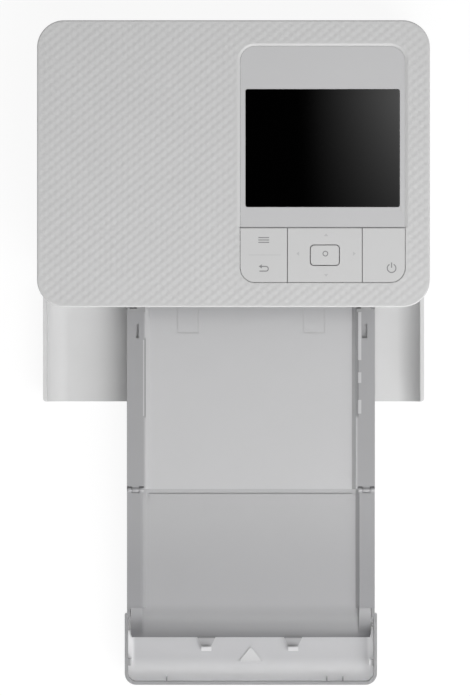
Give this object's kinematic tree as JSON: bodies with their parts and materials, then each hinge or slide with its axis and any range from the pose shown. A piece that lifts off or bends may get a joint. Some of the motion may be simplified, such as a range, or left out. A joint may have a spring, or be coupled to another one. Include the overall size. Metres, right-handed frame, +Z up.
{
  "type": "compact photo printer",
  "caption": "Flat box-shaped photo printer with a screen and keys on top, a wrap-round front door open, and a long paper cassette slid into its front.",
  "frame": {"origin": "centre of the body's footprint, on the surface that the feet stand on", "axes": "+Y towards the rear of the printer, along the way the cassette goes in; +Z up; +X to the right of a person in front of it"},
  "size_m": [0.1822, 0.3114, 0.0576],
  "materials": {
    "case_plastic": "fine moulded texture, white",
    "top_plastic": "white with an embossed pattern of small rounded ridges",
    "panel_plastic": "smooth satin white",
    "key_plastic": "smooth satin white",
    "frame_plastic": "satin light grey",
    "screen_glass": "glossy black window",
    "cassette_plastic": "translucent light grey",
    "cover_plastic": "translucent light grey, satin",
    "dark_plastic": "satin black",
    "gear_plastic": "natural acetal",
    "rubber": "matt",
    "silicone": "matt grey silicone",
    "steel": "plain rolled sheet",
    "shaft_steel": "ground and plated",
    "brass": "machined",
    "head_aluminium": "extruded",
    "board": "solder-masked laminate",
    "film": "thin coated film"
  },
  "bodies": {
    "printer": {"bottom_case": "case_plastic", "upper_case": "case_plastic", "top_cover": "top_plastic", "front_frame": "frame_plastic", "control_panel": "panel_plastic", "screen_glass": "screen_glass", "lcd_module": "dark_plastic", "panel_board": "board", "key_mat": "silicone", "main_board": "board", "card_socket": "steel", "usb_socket": "steel", "dc_jack": "dark_plastic", "dc_contact_pin": "brass", "chassis_left": "steel", "chassis_right": "steel", "rear_stay": "steel", "front_stay": "steel", "paper_guide": "dark_plastic", "roller_bushes": "brass", "gear_studs": "shaft_steel", "chassis_screws": "shaft_steel", "motor_bracket": "steel", "feed_motor": "steel", "ribbon_motor": "steel", "ribbon_case": "dark_plastic", "ink_ribbon": "film", "rubber_feet": "rubber", "case_screws": "shaft_steel", "door_pins": "shaft_steel", "ink_door_pins": "shaft_steel"},
    "front_door": {"front_door": "case_plastic"},
    "ink_door": {"ink_door": "case_plastic"},
    "menu_key": {"menu_key": "key_plastic"},
    "pad_rocker": {"pad_rocker": "frame_plastic"},
    "direction_pad": {"direction_pad": "key_plastic"},
    "ok_key": {"ok_key": "key_plastic"},
    "power_key": {"power_key": "key_plastic"},
    "cassette": {"cassette_tray": "cassette_plastic"},
    "lift_plate": {"lift_plate": "dark_plastic"},
    "cassette_lid": {"cassette_lid": "cassette_plastic"},
    "folding_cover": {"folding_cover": "cover_plastic"},
    "head": {"head_arm": "steel", "thermal_head": "head_aluminium"},
    "platen": {"platen_shaft": "shaft_steel", "platen_rubber": "rubber"},
    "feed": {"feed_roller": "shaft_steel", "feed_gear": "gear_plastic"},
    "pinch": {"pinch_roller": "rubber"},
    "pickup": {"pickup_shaft": "shaft_steel", "pickup_tyres": "rubber", "pickup_gear": "gear_plastic"},
    "pickup_idler": {"pickup_idler": "gear_plastic"},
    "motor_pinion": {"motor_pinion": "brass"},
    "reduction": {"reduction_gear": "gear_plastic"},
    "ribbon_pinion": {"ribbon_pinion": "brass"},
    "ribbon_idler": {"ribbon_idler": "gear_plastic"},
    "takeup": {"takeup_spool": "film", "takeup_gear": "gear_plastic"},
    "supply": {"supply_spool": "film"}
  },
  "joints": [
    {"name": "front_door_hinge", "type": "hinge", "parent": "printer", "child": "front_door", "pos_m": [0, -0.064, 0.0029], "axis": [-1, 0, 0], "range_deg": [0, 1.8]},
    {"name": "ink_door_hinge", "type": "hinge", "parent": "printer", "child": "ink_door", "pos_m": [0.0891, 0.0465, 0.031], "axis": [0, 0, 1], "range_deg": [0, 88]},
    {"name": "menu_key_rock", "type": "hinge", "parent": "printer", "child": "menu_key", "pos_m": [0.0141, -0.04247, 0.0559], "axis": [1, 0, 0], "range_deg": [-1.2, 1.2], "stiffness_Nm_per_rad": 0.15},
    {"name": "pad_tip_sideways", "type": "hinge", "parent": "printer", "child": "pad_rocker", "pos_m": [0.04235, -0.04247, 0.05505], "axis": [0, 1, 0], "range_deg": [-1, 1], "stiffness_Nm_per_rad": 0.15},
    {"name": "pad_tip_lengthways", "type": "hinge", "parent": "pad_rocker", "child": "direction_pad", "pos_m": [0.04235, -0.04247, 0.0559], "axis": [1, 0, 0], "range_deg": [-1.2, 1.2], "stiffness_Nm_per_rad": 0.15},
    {"name": "ok_key_press", "type": "slide", "parent": "direction_pad", "child": "ok_key", "axis": [0, 0, -1], "range_m": [0, 0.0005], "stiffness_N_per_m": 400},
    {"name": "power_key_press", "type": "hinge", "parent": "printer", "child": "power_key", "pos_m": [0.0697, -0.0312, 0.0559], "axis": [1, 0, 0], "range_deg": [0, 1], "stiffness_Nm_per_rad": 0.15},
    {"name": "cassette_slide", "type": "slide", "parent": "printer", "child": "cassette", "axis": [0, -1, 0], "range_m": [0, 0.06]},
    {"name": "lift_plate_hinge", "type": "hinge", "parent": "cassette", "child": "lift_plate", "pos_m": [0.0082, -0.109, 0.0079], "axis": [1, 0, 0], "range_deg": [0, 2.4]},
    {"name": "cassette_lid_hinge", "type": "hinge", "parent": "cassette", "child": "cassette_lid", "pos_m": [0.0082, -0.064, 0.0185], "axis": [-1, 0, 0], "range_deg": [0, 75]},
    {"name": "folding_cover_hinge", "type": "hinge", "parent": "cassette_lid", "child": "folding_cover", "pos_m": [0.0082, -0.1525, 0.018], "axis": [1, 0, 0], "range_deg": [0, 180]},
    {"name": "head_lift", "type": "hinge", "parent": "printer", "child": "head", "pos_m": [0, 0.05, 0.0456], "axis": [-1, 0, 0], "range_deg": [0, 3]},
    {"name": "platen_spin", "type": "hinge", "parent": "printer", "child": "platen", "pos_m": [0.0082, 0.01, 0.019], "axis": [1, 0, 0], "continuous": true},
    {"name": "feed_spin", "type": "hinge", "parent": "printer", "child": "feed", "pos_m": [0.0082, -0.026, 0.0225], "axis": [1, 0, 0], "continuous": true},
    {"name": "pinch_spin", "type": "hinge", "parent": "printer", "child": "pinch", "pos_m": [0.0082, -0.026, 0.0286], "axis": [1, 0, 0], "continuous": true},
    {"name": "pickup_spin", "type": "hinge", "parent": "printer", "child": "pickup", "pos_m": [0.0082, -0.048, 0.0208], "axis": [1, 0, 0], "continuous": true},
    {"name": "pickup_idler_spin", "type": "hinge", "parent": "printer", "child": "pickup_idler", "pos_m": [-0.061, -0.03771, 0.03088], "axis": [1, 0, 0], "continuous": true},
    {"name": "reduction_spin", "type": "hinge", "parent": "printer", "child": "reduction", "pos_m": [-0.063, -0.0192, 0.03428], "axis": [1, 0, 0], "continuous": true},
    {"name": "motor_pinion_spin", "type": "hinge", "parent": "printer", "child": "motor_pinion", "pos_m": [-0.065, -0.0352, 0.03428], "axis": [1, 0, 0], "continuous": true},
    {"name": "takeup_spin", "type": "hinge", "parent": "printer", "child": "takeup", "pos_m": [0.0082, 0.031, 0.0356], "axis": [1, 0, 0], "continuous": true},
    {"name": "ribbon_idler_spin", "type": "hinge", "parent": "printer", "child": "ribbon_idler", "pos_m": [-0.061, 0.0382, 0.02313], "axis": [1, 0, 0], "continuous": true},
    {"name": "ribbon_pinion_spin", "type": "hinge", "parent": "printer", "child": "ribbon_pinion", "pos_m": [-0.061, 0.0438, 0.01343], "axis": [1, 0, 0], "continuous": true},
    {"name": "supply_spin", "type": "hinge", "parent": "printer", "child": "supply", "pos_m": [0.0082, -0.01, 0.0356], "axis": [1, 0, 0], "continuous": true}
  ],
  "couplings": [
    {"joint": "pinch_spin", "follows": "feed_spin", "ratio": -1.0714},
    {"joint": "pickup_idler_spin", "follows": "feed_spin", "ratio": -1.25},
    {"joint": "pickup_spin", "follows": "feed_spin", "ratio": 1},
    {"joint": "reduction_spin", "follows": "feed_spin", "ratio": -1.4286},
    {"joint": "motor_pinion_spin", "follows": "feed_spin", "ratio": 3.3333},
    {"joint": "ribbon_idler_spin", "follows": "takeup_spin", "ratio": -1.25},
    {"joint": "ribbon_pinion_spin", "follows": "takeup_spin", "ratio": 1.6667},
    {"joint": "supply_spin", "follows": "takeup_spin", "ratio": 1}
  ]
}
